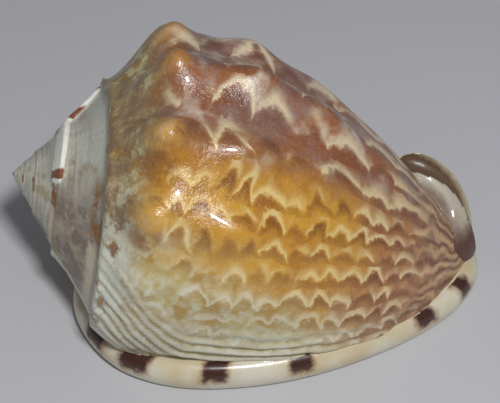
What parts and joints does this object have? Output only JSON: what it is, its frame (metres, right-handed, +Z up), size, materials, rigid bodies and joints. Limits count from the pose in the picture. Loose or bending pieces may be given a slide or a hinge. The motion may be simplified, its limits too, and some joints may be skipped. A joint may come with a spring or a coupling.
{
  "type": "helmet shell",
  "caption": "Large knobbed sea snail shell with flame markings, lying on its toothed aperture between a rolled outer lip and a flat shield.",
  "frame": {"origin": "on the table under the aperture's rim, at the middle of the length and of the width", "axes": "+X from the spire's apex to the anterior end with the canal, +Y from the outer lip to the far side, +Z up from the table"},
  "size_m": [0.1229, 0.0851, 0.0774],
  "materials": {
    "shell_glaze": "glossy natural glaze: honey and red-brown flames on cream, ivory lip with dark brown bars"
  },
  "bodies": {
    "root": {"shell": "shell_glaze"}
  },
  "joints": []
}
